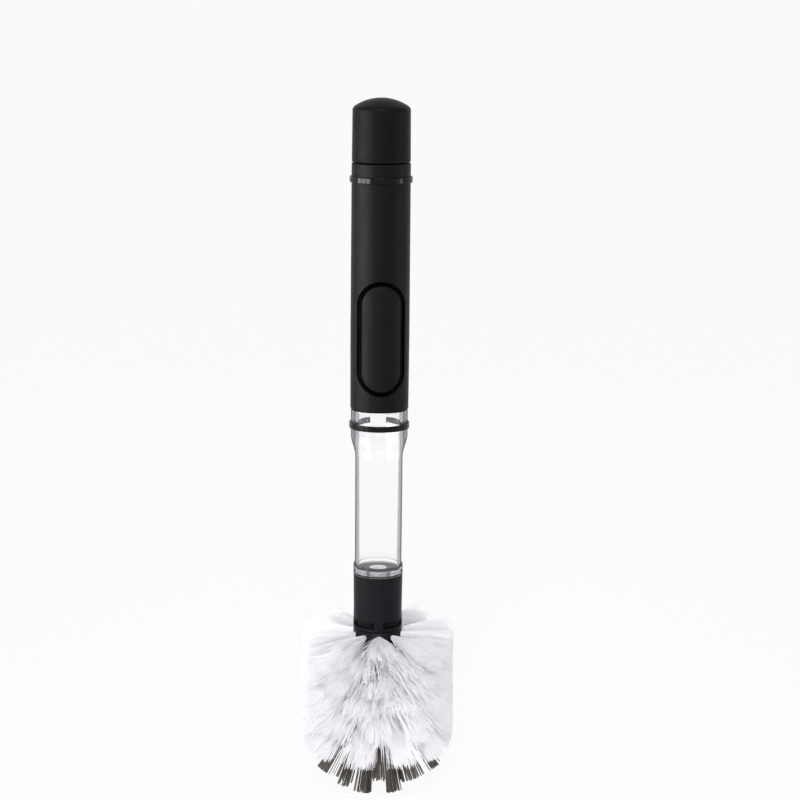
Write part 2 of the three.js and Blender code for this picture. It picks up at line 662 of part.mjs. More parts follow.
// Slice that runs from the straight core on to its round end
function shoulderSlice(firstRow) {
  const top = HEAD_HEIGHT - FIRST_ROW_DROP - (firstRow - 0.5) * rowPitch - sliceGap;
  return turned([
    [CORE_RADIUS, top], [sliceBore, top],
    ...arc(0, DOME_HEIGHT, sliceBore, 0, -splitSlope, 3),
    ...arc(0, DOME_HEIGHT, CORE_RADIUS, -splitSlope, 0, 3),
  ]);
}

// Slice round the soap outlet at the core's end
function endSlice() {
  const gap = THREE.MathUtils.radToDeg(FIT / CORE_RADIUS);
  const outlet = SOAP_CHANNEL_RADIUS + FIT;
  const inner = THREE.MathUtils.radToDeg(Math.acos(outlet / sliceBore));
  const outer = THREE.MathUtils.radToDeg(Math.acos(outlet / CORE_RADIUS));
  return turned([
    ...arc(0, DOME_HEIGHT, CORE_RADIUS, -outer, -splitSlope - gap, 4),
    ...arc(0, DOME_HEIGHT, sliceBore, -splitSlope - gap, -inner, 4),
  ]);
}

function bristles(slice, strands) {
  return wasm.Manifold.union([slice, ...strands]);
}

// Strands of the rows that share a slice
function rowsFrom(firstRow) {
  return Array.from({ length: ROWS_PER_SLICE }, (_, i) => whiteRow(firstRow + i)).flat();
}

const middleRow = ROWS_PER_SLICE;
const lowerRow = 2 * ROWS_PER_SLICE;
const standing = slab(-THROUGH, THROUGH, -THROUGH, 0);

piece("bristles_upper", bristles(barrelSlice(0), rowsFrom(0)), NYLON_WHITE, 0.5);
piece("bristles_middle", bristles(barrelSlice(middleRow), rowsFrom(middleRow)), NYLON_WHITE, 0.5);
piece("bristles_lower", bristles(shoulderSlice(lowerRow), rowsFrom(lowerRow)), NYLON_WHITE, 0.5);
piece("bristles_tip",
  bristles(endSlice(), [
    ...greyRing(OUTER_RING, () => OUTER_RING.length),
    ...greyRing(INNER_RING, toFloor),
  ]).subtract(standing),
  NYLON_GREY, 0.55);

export default brush;
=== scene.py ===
"""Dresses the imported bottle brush: smooth mouldings, dense bristle tufts, materials, light and camera.

Sizes are in millimetres in the frame of the CAD model and become metres when a mesh is made.
Turning angles are counted from the front, -Y, towards +X.
"""

import math

import bpy
import numpy as np
from mathutils import Matrix, Vector


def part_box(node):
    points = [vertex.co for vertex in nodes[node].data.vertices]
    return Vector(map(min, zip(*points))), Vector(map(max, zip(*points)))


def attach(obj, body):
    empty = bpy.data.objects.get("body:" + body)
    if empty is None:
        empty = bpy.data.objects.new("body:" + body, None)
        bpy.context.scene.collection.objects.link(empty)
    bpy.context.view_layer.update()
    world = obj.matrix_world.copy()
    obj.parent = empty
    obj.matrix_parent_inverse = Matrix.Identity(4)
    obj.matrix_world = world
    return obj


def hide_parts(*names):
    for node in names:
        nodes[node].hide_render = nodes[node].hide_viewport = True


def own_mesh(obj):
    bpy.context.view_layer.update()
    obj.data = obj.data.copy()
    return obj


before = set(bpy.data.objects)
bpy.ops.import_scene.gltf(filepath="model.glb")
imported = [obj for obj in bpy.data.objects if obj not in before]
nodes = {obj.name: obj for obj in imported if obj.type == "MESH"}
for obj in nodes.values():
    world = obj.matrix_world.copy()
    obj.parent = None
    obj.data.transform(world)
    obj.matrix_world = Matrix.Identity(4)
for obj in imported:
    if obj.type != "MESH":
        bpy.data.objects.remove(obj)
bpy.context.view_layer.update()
MM = 0.001
TINY = 1e-6
rng = np.random.default_rng(20)


# Meshes

SHARP_EDGE = 35  # degrees; sharper edges stay sharp in the shading
FINE_SEGMENTS = 192
SMALL_SEGMENTS = 96
CORNER_SHARE = 0.48  # most of a side that one rounded corner takes
FLAT_REACH, FLAT_SHARE = 0.25, 0.04  # how far beside a rounded corner its second point lies
UPRIGHT_SLOPE = 0.1  # most rise of an upright face's normal
OUTSIDE_COSINE = 0.9  # least agreement of an outside face's normal with the round one


def new_mesh(name, shape):
    """A mesh from (points in mm, faces)."""
    verts, faces = shape
    mesh = bpy.data.meshes.new(name)
    mesh.from_pydata((np.asarray(verts, float) * MM).tolist(), [], faces)
    return mesh


def new_object(name, data):
    """An object in the scene."""
    made = bpy.data.objects.new(name, data)
    bpy.context.scene.collection.objects.link(made)
    return made


def new_piece(name, shape, body, look, replaced=(), sharp=SHARP_EDGE):
    """A piece that is smooth but for edges sharper than an angle, riding on a body."""
    mesh = new_mesh(name, shape)
    mesh.validate()
    mesh.shade_smooth()
    mesh.set_sharp_from_angle(angle=math.radians(sharp))
    mesh.materials.append(look)
    made = new_object(name, mesh)
    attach(made, body)
    if replaced:
        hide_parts(*replaced)
    return made


def turned(outline, segments=144):
    """Solid of a closed outline of (radius, height), counter-clockwise, turned about Z."""
    verts, rings, faces = [], [], []
    turns = np.arange(segments) * 2 * math.pi / segments
    for r, z in outline:
        if r < TINY:
            rings.append([len(verts)] * segments)
            verts.append((0, 0, z))
        else:
            rings.append(list(range(len(verts), len(verts) + segments)))
            verts += [(r * math.sin(a), -r * math.cos(a), z) for a in turns]
    for low, high in zip(rings, rings[1:] + rings[:1]):
        for i in range(segments):
            j = (i + 1) % segments
            corners = list(dict.fromkeys((low[i], low[j], high[j], high[i])))
            if len(corners) > 2:
                faces.append(corners)
    return verts, faces


def lofted(rings, closed=False):
    """Solid through rings of as many points each, with flat ends unless it closes on itself."""
    count = len(rings[0])
    verts = [tuple(point) for ring in rings for point in ring]
    faces = []
    for i in range(len(rings) if closed else len(rings) - 1):
        here, after = i * count, ((i + 1) % len(rings)) * count
        for k in range(count):
            n = (k + 1) % count
            faces.append((here + k, after + k, after + n, here + n))
    if not closed:
        last = (len(rings) - 1) * count
        faces.append(tuple(range(count)))
        faces.append(tuple(reversed(range(last, last + count))))
    return verts, faces


def swept(outline, start, end, steps=24):
    """Solid of an outline turned about Z between two turning angles."""
    turns = np.radians(np.linspace(start, end, steps + 1))
    return lofted([[(r * math.sin(a), -r * math.cos(a), z) for r, z in outline] for a in turns])


def curve_points(start, corner, end, steps):
    """Points of a round corner between two points."""
    shares = np.linspace(0, 1, steps + 1)
    return [tuple((1 - t) ** 2 * start + 2 * t * (1 - t) * corner + t * t * end) for t in shares]


def softened(corners, steps=5):
    """Outline with rounded corners: each is (radius, height) or (radius, height, rounding)."""
    points = []
    for i, corner in enumerate(corners):
        here = Vector(corner[:2])
        if len(corner) < 3:
            points.append(tuple(here))
            continue
        back = Vector(corners[i - 1][:2]) - here
        on = Vector(corners[(i + 1) % len(corners)][:2]) - here
        length = min(
            corner[2] / math.tan(back.angle(on) / 2),
            CORNER_SHARE * back.length, CORNER_SHARE * on.length,
        )
        start = here + back.normalized() * length
        end = here + on.normalized() * length
        # A close second point keeps the flat stretch beside a round corner flat in its shading
        points.append(tuple(start + back.normalized() * min(FLAT_REACH, FLAT_SHARE * back.length)))
        points += curve_points(start, here, end, steps)
        points.append(tuple(end + on.normalized() * min(FLAT_REACH, FLAT_SHARE * on.length)))
    return points


def arc(r, z, radius, start, end, steps):
    """Points of an arc about a centre, between two angles above level in degrees."""
    angles = np.radians(np.linspace(start, end, steps + 1))
    return [(r + radius * math.cos(a), z + radius * math.sin(a)) for a in angles]


def oval_ring(width, length, steps=28):
    """Upright oval of (x, z) points with half-circle ends, counter-clockwise seen from the front."""
    r = width / 2
    rise = length / 2 - r
    ends = []
    for centre, start in ((rise, 0), (-rise, 180)):
        for a in np.radians(np.linspace(start, start + 180, steps + 1)):
            ends.append((r * math.cos(a), centre + r * math.sin(a)))
    return ends


def oval_stack(layers, middle):
    """Closed stack of ovals of (width, length, depth or depth function), from back to front."""
    rings = []
    for width, length, depth in reversed(layers):
        depth_at = depth if callable(depth) else lambda x, level=depth: level
        rings.append([(x, -depth_at(x), middle + z) for x, z in oval_ring(width, length)])
    return lofted(rings)


def oval_tube(outer, inner, front, back, middle):
    """Upright oval tube between two outlines of (width, length) and two depths."""
    rings = []
    for (x, z), (u, w) in zip(oval_ring(*outer), oval_ring(*inner)):
        section = ((x, front, z), (u, front, w), (u, back, w), (x, back, z))
        rings.append([(across, -depth, middle + rise) for across, depth, rise in section])
    return lofted(rings, closed=True)


def block(low, high):
    """Box between two corners."""
    (x, y, z), (u, v, w) = low, high
    return lofted([[(x, y, level), (x, v, level), (u, v, level), (u, y, level)] for level in (w, z)])


def cut_away(made, shape):
    """Takes a cutter's solid out of a piece."""
    cutter = new_object("cutter", new_mesh("cutter", shape))
    change = made.modifiers.new("cut", "BOOLEAN")
    change.operation = "DIFFERENCE"
    change.solver = "EXACT"
    change.object = cutter
    bpy.context.view_layer.update()
    seen = made.evaluated_get(bpy.context.evaluated_depsgraph_get())
    result = bpy.data.meshes.new_from_object(seen)
    made.modifiers.clear()
    spare = [made.data, cutter.data]
    made.data = result
    bpy.data.objects.remove(cutter)
    for mesh in spare:
        bpy.data.meshes.remove(mesh)


def round_normals(made):
    """Gives faces that lie on the turned outside the true round normals, after a cut."""
    mesh = made.data
    mesh.shade_smooth()
    mesh.set_sharp_from_angle(angle=math.radians(SHARP_EDGE))
    normals = np.zeros(len(mesh.loops) * 3, np.float32)
    mesh.corner_normals.foreach_get("vector", normals)
    normals = normals.reshape(-1, 3)
    for face in mesh.polygons:
        for k in face.loop_indices:
            place = mesh.vertices[mesh.loops[k].vertex_index].co
            out = Vector((place.x, place.y, 0)).normalized()
            if abs(face.normal.z) < UPRIGHT_SLOPE and face.normal.dot(out) > OUTSIDE_COSINE:
                normals[k] = out
    mesh.normals_split_custom_set(normals.tolist())


# Materials

MOTTLE_SIZE = 9
GLOSS_SIZE = 3
GRAIN_DETAIL = 6


def srgb(r, g, b):
    """Linear colour of sRGB values from 0 to 255."""
    parts = (c / 255 for c in (r, g, b))
    return tuple(((c + 0.055) / 1.055) ** 2.4 if c > 0.04 else c / 12.92 for c in parts) + (1,)


def material(name, **values):
    """A Principled material with these values on its sockets; returns it, its nodes and its shader."""
    made = bpy.data.materials.new(name)
    made.use_nodes = True
    shader = made.node_tree.nodes["Principled BSDF"]
    for socket, value in values.items():
        shader.inputs[socket.replace("_", " ")].default_value = value
    return made, made.node_tree, shader


def feed(tree, value, socket):
    """Links an output to a socket, or sets a number there."""
    if isinstance(value, bpy.types.NodeSocket):
        tree.links.new(value, socket)
    else:
        socket.default_value = value


def compute(tree, operation, *values):
    """A maths node on outputs and numbers."""
    made = tree.nodes.new("ShaderNodeMath")
    made.operation = operation
    for value, socket in zip(values, made.inputs):
        feed(tree, value, socket)
    return made.outputs[0]


def mixed(tree, factor, first, second):
    """A mix of two shaders."""
    made = tree.nodes.new("ShaderNodeMixShader")
    for value, socket in zip((factor, first, second), made.inputs):
        feed(tree, value, socket)
    return made.outputs["Shader"]


def noise(tree, size_mm, detail=4, stretch=(1, 1, 1)):
    """Noise with features of about this size, in the piece's own frame."""
    coord = tree.nodes.new("ShaderNodeTexCoord")
    place = tree.nodes.new("ShaderNodeMapping")
    place.inputs["Scale"].default_value = stretch
    made = tree.nodes.new("ShaderNodeTexNoise")
    made.inputs["Scale"].default_value = 1 / (size_mm * MM)
    made.inputs["Detail"].default_value = detail
    tree.links.new(coord.outputs["Object"], place.inputs["Vector"])
    tree.links.new(place.outputs["Vector"], made.inputs["Vector"])
    return made.outputs["Fac"]


def ramp(tree, factor, low, high, start=0.3, end=0.7):
    """Two colours or levels spread over a factor."""
    made = tree.nodes.new("ShaderNodeValToRGB")
    made.color_ramp.elements[0].position = start
    made.color_ramp.elements[1].position = end
    for element, value in zip(made.color_ramp.elements, (low, high)):
        element.color = value if isinstance(value, tuple) else (value, value, value, 1)
    tree.links.new(factor, made.inputs["Fac"])
    return made.outputs["Color"]


def bump(tree, shader, height, depth_mm):
    """Fine relief of a height texture."""
    made = tree.nodes.new("ShaderNodeBump")
    made.inputs["Distance"].default_value = depth_mm * MM
    made.inputs["Strength"].default_value = 1.0
    tree.links.new(height, made.inputs["Height"])
    tree.links.new(made.outputs["Normal"], shader.inputs["Normal"])


def moulded(name, dark, light, rough, specular, grain_mm, grain_depth):
    """Moulded plastic or rubber with a slow mottle, uneven gloss and a fine grain."""
    made, tree, shader = material(name, Specular_IOR_Level=specular)
    colour = ramp(tree, noise(tree, MOTTLE_SIZE), srgb(*dark), srgb(*light))
    tree.links.new(colour, shader.inputs["Base Color"])
    tree.links.new(ramp(tree, noise(tree, GLOSS_SIZE), *rough), shader.inputs["Roughness"])
    bump(tree, shader, noise(tree, grain_mm, GRAIN_DETAIL), grain_depth)
    return made


# Name, darkest and lightest sRGB colour, roughness from and to, specular level, grain's size and depth
soft_black = moulded("soft_touch_black", (8, 6, 6), (11, 9, 9), (0.42, 0.5), 0.092, 0.35, 0.02)
cap_black = moulded("cap_black", (8, 6, 6), (11, 9, 9), (0.42, 0.5), 0.075, 0.35, 0.02)
pad_black = moulded("pad_black", (10, 8, 10), (13, 11, 13), (0.42, 0.5), 0.092, 0.3, 0.02)
hard_black = moulded("satin_black", (12, 12, 16), (15, 15, 20), (0.4, 0.48), 0.1, 0.5, 0.015)
liner_black = moulded("liner_black", (8, 8, 9), (11, 11, 12), (0.45, 0.55), 0.06, 0.6, 0.02)
band_black = moulded("band_black", (7, 7, 8), (10, 10, 11), (0.14, 0.2), 0.13, 1.2, 0.006)
seal_black = moulded("seal_rubber_black", (16, 16, 16), (21, 21, 21), (0.55, 0.65), 0.12, 0.4, 0.03)
silicone = moulded("white_silicone", (236, 236, 234), (246, 246, 244), (0.35, 0.45), 0.4, 0.8, 0.01)

# Colour of the painted shade that the clear plastic shows edge on and on its level floors
PAINTED_EDGE_SHADE = (0.02, 0.028, 0.05, 1)
DEPTH_TINT = (0.6, 0.66, 0.76, 1)
DEPTH_DENSITY = 20
WAVE_SIZE, WAVE_DEPTH, WAVE_STRETCH = 25, 0.004, (1, 1, 0.25)
CLOUD_SIZE = 14


def clear_plastic():
    """Clear moulded plastic: a cool tint in its depth, painted shade seen edge on and on its level
    floors, faint waves in its wall.
    """
    made, tree, shader = material(
        "clear_plastic", Base_Color=(1, 1, 1, 1), Transmission_Weight=1.0, IOR=1.49,
    )
    tree.links.new(ramp(tree, noise(tree, CLOUD_SIZE), 0.0, 0.015), shader.inputs["Roughness"])
    bump(tree, shader, noise(tree, WAVE_SIZE, 1, WAVE_STRETCH), WAVE_DEPTH)
    facing = tree.nodes.new("ShaderNodeLayerWeight").outputs["Facing"]
    surface = tree.nodes.new("ShaderNodeNewGeometry")
    normal = tree.nodes.new("ShaderNodeSeparateXYZ")
    tree.links.new(surface.outputs["Normal"], normal.inputs["Vector"])
    rise = normal.outputs["Z"]
    # From outside, upright walls get painted dark edges and level floors a painted shade
    upright = ramp(tree, compute(tree, "ABSOLUTE", rise), 1.0, 0.0, start=0.2, end=0.6)
    painted_wall_shade = compute(tree, "MULTIPLY", upright, ramp(tree, facing, 0.0, 0.95, start=0.6, end=0.9))
    outside = compute(tree, "MAXIMUM", painted_wall_shade, ramp(tree, rise, 0.0, 0.5, start=0.7, end=0.9))
    # From inside, the wall gets painted shade about the angle at which it mirrors
    inside = ramp(tree, facing, 0.0, 0.9, start=0.19, end=0.36)
    inside.node.color_ramp.elements.new(0.5).color = (0.3, 0.3, 0.3, 1)
    # Mask of the painted shade: the outside mask on front faces, the inside one on back faces
    edge = tree.nodes.new("ShaderNodeMix")
    tree.links.new(surface.outputs["Backfacing"], edge.inputs["Factor"])
    tree.links.new(outside, edge.inputs["A"])
    tree.links.new(inside, edge.inputs["B"])
    # A dark diffuse mixed in by that mask: painted shade standing in for the dark that refraction shows,
    # not a colour of the plastic
    dark = tree.nodes.new("ShaderNodeBsdfDiffuse")
    dark.inputs["Color"].default_value = PAINTED_EDGE_SHADE
    look = mixed(tree, edge.outputs["Result"], shader.outputs["BSDF"], dark.outputs["BSDF"])
    output = tree.nodes["Material Output"]
    tree.links.new(look, output.inputs["Surface"])
    absorb = tree.nodes.new("ShaderNodeVolumeAbsorption")
    absorb.inputs["Color"].default_value = DEPTH_TINT
    absorb.inputs["Density"].default_value = DEPTH_DENSITY
    tree.links.new(absorb.outputs["Volume"], output.inputs["Volume"])
    return made


clear = clear_plastic()

STRAND_GRAIN_SIZE, STRAND_GRAIN_DETAIL, STRAND_GRAIN_DEPTH = 0.5, 3, 0.02


def nylon(name, dark, light, rough, through):
    """Nylon strands: each has its own tone, a soft gloss, and some light passes through."""
    made, tree, shader = material(name, Roughness=rough, Specular_IOR_Level=0.3)
    tone = tree.nodes.new("ShaderNodeAttribute")
    tone.attribute_name = "tone"
    colour = ramp(tree, tone.outputs["Fac"], srgb(*dark), srgb(*light), start=0, end=1)
    tree.links.new(colour, shader.inputs["Base Color"])
    bump(tree, shader, noise(tree, STRAND_GRAIN_SIZE, STRAND_GRAIN_DETAIL), STRAND_GRAIN_DEPTH)
    passing = tree.nodes.new("ShaderNodeBsdfTranslucent")
    tree.links.new(colour, passing.inputs["Color"])
    look = mixed(tree, through, shader.outputs["BSDF"], passing.outputs["BSDF"])
    tree.links.new(look, tree.nodes["Material Output"].inputs["Surface"])
    return made


white_nylon = nylon("white_nylon", (248, 247, 249), (254, 254, 255), rough=0.4, through=0.35)
grey_nylon = nylon("grey_nylon", (52, 47, 44), (118, 110, 105), rough=0.42, through=0.08)

# CAD nodes that stay as they are, inside the brush
for node, look in (
    ("cap_liner", liner_black), ("cap_gasket", silicone), ("handle_liner", liner_black),
    ("joint_seal", seal_black), ("diaphragm_frame", liner_black), ("collar_seal", seal_black),
    # The head stem is black plastic; its darker, less glossy liner black, not the collar's satin black,
    # is painted shade in the collar's windows where its lugs show
    ("head_stem", liner_black),
):
    nodes[node].data.materials.clear()
    nodes[node].data.materials.append(look)


def heights(node):
    """Lowest and highest point of a CAD node in mm."""
    low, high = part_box(node)
    return low.z / MM, high.z / MM


def radius(node):
    """Half the width of a CAD node in mm."""
    low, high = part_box(node)
    return (high.x - low.x) / 2 / MM


# Cap

CAP_TOP_RADIUS = 13.92
CAP_BORE = 12.3
CAP_DOME = 4.7
CAP_WALL = 1.8
CAP_EDGE = 1.1  # height of the rounding between side and dome
CAP_EDGE_LIFT = 0.1
CAP_FOOT_ROUND = 0.45
cap_base, cap_top = heights("cap_shell")
cap_shoulder = cap_top - CAP_DOME
dome_radius = (CAP_TOP_RADIUS ** 2 + CAP_DOME ** 2) / (2 * CAP_DOME)


def dome_points(start, end, depth, steps):
    """Points of the cap's dome between two radii, this far under its outer face."""
    middle = cap_top - dome_radius
    radii = np.linspace(start, end, steps + 1)
    return [(r, middle + math.sqrt((dome_radius - depth) ** 2 - r * r)) for r in radii]


def cap_outline():
    """Closed outline of the cap: its hollow, its foot, its side and its dome."""
    foot = softened([
        (CAP_BORE, cap_base), (radius("cap_shell"), cap_base, CAP_FOOT_ROUND),
        (CAP_TOP_RADIUS, cap_shoulder),
    ])
    side = Vector((CAP_TOP_RADIUS, cap_shoulder - CAP_EDGE))
    corner = Vector((CAP_TOP_RADIUS, cap_shoulder + CAP_EDGE_LIFT))
    edge = Vector(dome_points(CAP_BORE, CAP_BORE, 0, 1)[0])
    hollow = dome_points(0, CAP_BORE, CAP_WALL, 6)
    under_edge = (CAP_TOP_RADIUS, cap_shoulder - 1.2 * CAP_EDGE)
    rounding = curve_points(side, corner, edge, 6)
    return hollow + foot[:-1] + [under_edge] + rounding + dome_points(CAP_BORE - 0.3, 0, 0, 16)


new_piece("cap_moulding", turned(cap_outline()), "cap", cap_black, ("cap_shell",))

# Handle grip with its oval window

GRIP_BORE = 12.0
GRIP_FOOT_RADIUS = 14.15
GRIP_MIDDLE_RADIUS = 14.32
GRIP_TOP_RADIUS = 14.17
GRIP_FOOT_ROUND = 0.6
GRIP_TOP_ROUND = 0.4
CHANNEL = 2.2
PAD_WIDTH = 18.6
CUT_BACK, CUT_FRONT = -0.01, 30  # the window's cutter goes from the axis to well outside
grip_base, grip_top = heights("handle_grip")
button_low, button_high = heights("button_pad")
button_middle = (button_low + button_high) / 2
pad_length = button_high - button_low
window_size = (PAD_WIDTH + 2 * CHANNEL, pad_length + 2 * CHANNEL)
grip_outline = softened([
    (GRIP_BORE, grip_base), (GRIP_FOOT_RADIUS, grip_base, GRIP_FOOT_ROUND),
    (GRIP_MIDDLE_RADIUS, button_middle), (GRIP_TOP_RADIUS, grip_top, GRIP_TOP_ROUND),
    (GRIP_BORE, grip_top),
])
grip = new_piece(
    "grip_moulding", turned(grip_outline, FINE_SEGMENTS), "handle", soft_black,
    ("handle_grip",),
)
cut_away(grip, oval_stack([(*window_size, CUT_BACK), (*window_size, CUT_FRONT)], button_middle))
round_normals(grip)

# Rounded lip along the window's edge

LIP = 0.32  # radius of the lip's round section
LIP_ASIDE, LIP_SUNK = 0.6, 0.95  # place of the section's middle, in shares of its radius
LIP_STEP = 2.0
LIP_SIDES = 8
LIP_END_STEPS = 48


def grip_radius(z):
    """Outer radius of the grip at a height above the button's middle."""
    if z > 0:
        share, end = z / (grip_top - button_middle), GRIP_TOP_RADIUS
    else:
        share, end = -z / (button_middle - grip_base), GRIP_FOOT_RADIUS
    return GRIP_MIDDLE_RADIUS - share * (GRIP_MIDDLE_RADIUS - end)


def window_path():
    """Points round the window, with points of their own along its straight sides."""
    corners = [Vector(point) for point in oval_ring(*window_size, LIP_END_STEPS)]
    path = []
    for last, here in zip(corners[-1:] + corners[:-1], corners):
        gap = here - last
        steps = math.ceil(gap.length / LIP_STEP - TINY)
        path += [last + gap * k / steps for k in range(1, steps + 1) if gap.length > TINY]
    return path


def window_lip():
    """Round bead along the window's edge, laid on the grip's curve."""
    path = window_path()
    rings = []
    for i, here in enumerate(path):
        ahead = path[(i + 1) % len(path)] - path[i - 1]
        side = Vector((ahead.y, -ahead.x)).normalized()
        ring = []
        for a in np.linspace(2 * math.pi, 0, LIP_SIDES, endpoint=False):
            x, z = here + side * LIP * (LIP_ASIDE + math.cos(a))
            depth = math.sqrt(grip_radius(here.y) ** 2 - x * x) + LIP * (math.sin(a) - LIP_SUNK)
            ring.append((x, -depth, button_middle + z))
        rings.append(ring)
    return lofted(rings, closed=True)


new_piece("window_lip", window_lip(), "handle", soft_black, sharp=80)

# Button pad: a curved face with a softly rounded edge, a rim behind it, and a rigid back

PAD_RADIUS = 14.25
PAD_EDGE = 0.9
PAD_ROUND = 0.5
PAD_LAP = 0.2  # the pieces behind the pad reach this far into it
FACE_INSETS = np.linspace(1.2, PAD_WIDTH / 2 - 0.1, 9)
QUARTER_TURNS = np.radians(np.linspace(0, 90, 7))
SKIRT_INSET = 0.5
SKIRT_WALL = 0.6
SKIRT_DEPTH = 2.0
PUSHER_WIDTH, PUSHER_LENGTH = 6.5, 32
PUSHER_DEPTH = 0.7
PUSHER_BEVEL = 0.2
pad_back = math.sqrt(PAD_RADIUS ** 2 - (PAD_WIDTH / 2) ** 2) - PAD_EDGE


def pad_layer(inset, under):
    """Oval of the pad's face, this far inside its edge and under its curve."""
    def depth(x):
        return math.sqrt(PAD_RADIUS ** 2 - x * x) - under
    return PAD_WIDTH - 2 * inset, pad_length - 2 * inset, depth


pad_layers = [(PAD_WIDTH, pad_length, pad_back)]
for turn in QUARTER_TURNS:
    pad_layers.append(pad_layer(PAD_ROUND * (1 - math.cos(turn)), PAD_ROUND * (1 - math.sin(turn))))
pad_layers += [pad_layer(inset, 0) for inset in FACE_INSETS]
new_piece(
    "button_moulding", oval_stack(pad_layers, button_middle), "button", pad_black,
    ("button_pad",),
)

skirt_outer = tuple(size - 2 * SKIRT_INSET for size in (PAD_WIDTH, pad_length))
skirt_inner = tuple(size - 2 * SKIRT_WALL for size in skirt_outer)
skirt = oval_tube(skirt_outer, skirt_inner, pad_back + PAD_LAP, pad_back - SKIRT_DEPTH, button_middle)
new_piece("button_skirt", skirt, "button", pad_black)

pusher_layers = [
    (PUSHER_WIDTH - 2 * PUSHER_BEVEL, PUSHER_LENGTH - 2 * PUSHER_BEVEL, pad_back - PUSHER_DEPTH),
    (PUSHER_WIDTH, PUSHER_LENGTH, pad_back - PUSHER_DEPTH + PUSHER_BEVEL),
    (PUSHER_WIDTH, PUSHER_LENGTH, pad_back + PAD_LAP),
]
new_piece("button_pusher", oval_stack(pusher_layers, button_middle), "button", liner_black)

# Rubber diaphragm under the pad, on a mesh of its own

RIM_SIZE = (15.4, 47)
RIM_THICKNESS = 0.7
BULGE_WIDTH, BULGE_LENGTH = 11, 42.6
BULGE_INSET = 5.6
rim_back = -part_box("button_diaphragm")[1].y / MM
crown = -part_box("button_diaphragm")[0].y / MM
rim_front = rim_back + RIM_THICKNESS
skin_layers = [(*RIM_SIZE, rim_back), (*RIM_SIZE, rim_front)]
for turn in QUARTER_TURNS:
    inset = BULGE_INSET * (1 - math.cos(turn))
    depth = rim_front + (crown - rim_front) * math.sin(turn)
    skin_layers.append((BULGE_WIDTH - inset, BULGE_LENGTH - inset, depth))
diaphragm = new_piece(
    "diaphragm_skin", oval_stack(skin_layers, button_middle), "handle", seal_black,
    ("button_diaphragm",),
)
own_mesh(diaphragm)

# Filler neck with its screw thread

NECK_RADIUS = 10.2
NECK_BORE = 8.2
NECK_SKIN = 0.05
NECK_SUNK = 1
NECK_ROUND = 0.4
THREAD_CREST = 10.65
THREAD_ROOT = NECK_RADIUS - 0.1
THREAD_LEAD = 6
THREAD_HALF = 0.9
THREAD_FLAT = 0.4 * THREAD_HALF
THREAD_FADE = 12  # the thread rises over one twelfth of its length at each end
THREAD_OVER_GRIP, THREAD_UNDER_RIM = 1.6, 1.2
THREAD_STEPS = 160
neck_top = heights("handle_liner")[1]
neck_inner, neck_outer = NECK_BORE - NECK_SKIN, NECK_RADIUS + NECK_SKIN
neck_outline = softened([
    (neck_inner, grip_top - NECK_SUNK), (neck_outer, grip_top - NECK_SUNK),
    (neck_outer, neck_top + NECK_SKIN, NECK_ROUND), (neck_inner, neck_top + NECK_SKIN, NECK_ROUND),
])
new_piece("filler_neck", turned(neck_outline, SMALL_SEGMENTS), "handle", liner_black)


def neck_thread(base, top):
    """Screw thread between two heights, running out at both ends."""
    rings = []
    for t in np.linspace(0, 1, THREAD_STEPS + 1):
        z = base + (top - base) * t
        a = 2 * math.pi * (z - base) / THREAD_LEAD
        share = min(1, THREAD_FADE * t, THREAD_FADE * (1 - t))
        crest = NECK_RADIUS + (THREAD_CREST - NECK_RADIUS) * share
        section = (
            (THREAD_ROOT, -THREAD_HALF), (crest, -THREAD_FLAT), (crest, THREAD_FLAT),
            (THREAD_ROOT, THREAD_HALF),
        )
        rings.append([(r * math.sin(a), -r * math.cos(a), z + rise) for r, rise in section])
    return lofted(rings)


thread = neck_thread(grip_top + THREAD_OVER_GRIP, neck_top - THREAD_UNDER_RIM)
new_piece("neck_thread", thread, "handle", liner_black)

# Clear reservoir

RESERVOIR_RADIUS = 11.55
RESERVOIR_BORE = 10.05
WIDE_RADIUS = 13.87
SOCKET_BORE = 10.5
SOCKET_RADIUS = 11.8
SPIGOT_RADIUS = 10.4
SPIGOT_BORE = 8.2
FLANGE_RADIUS = 12.15
GROOVE_RADIUS = 11.75
OUTLET_RADIUS = 4.3
COLLAR_GAP = 0.2
FLANGE_HEIGHT = 5
GROOVE_BASE, GROOVE_TOP = 2.1, 2.9  # above the flange's foot
FLOOR_THICKNESS = 2.6
NARROW_LENGTH = 53.8
TAPER_LENGTH = 11.4
SOCKET_LENGTH = 5.5
TAPER_STEPS = 16
RESERVOIR_SEGMENTS = 256
spigot_base, socket_top = heights("reservoir")
flange_base = heights("collar")[1] + COLLAR_GAP
flange_top = flange_base + FLANGE_HEIGHT
groove_base, groove_top = flange_base + GROOVE_BASE, flange_base + GROOVE_TOP
floor_top = groove_top
floor_under = floor_top - FLOOR_THICKNESS
taper_base = flange_top + NARROW_LENGTH
taper_top = taper_base + TAPER_LENGTH
shoulder = socket_top - SOCKET_LENGTH


def taper():
    """Smooth step from the narrow to the wide part."""
    rise, grow = taper_top - taper_base, WIDE_RADIUS - RESERVOIR_RADIUS
    shares = np.linspace(0, 1, TAPER_STEPS + 1)
    return [(RESERVOIR_RADIUS + grow * t * t * (3 - 2 * t), taper_base + rise * t) for t in shares]


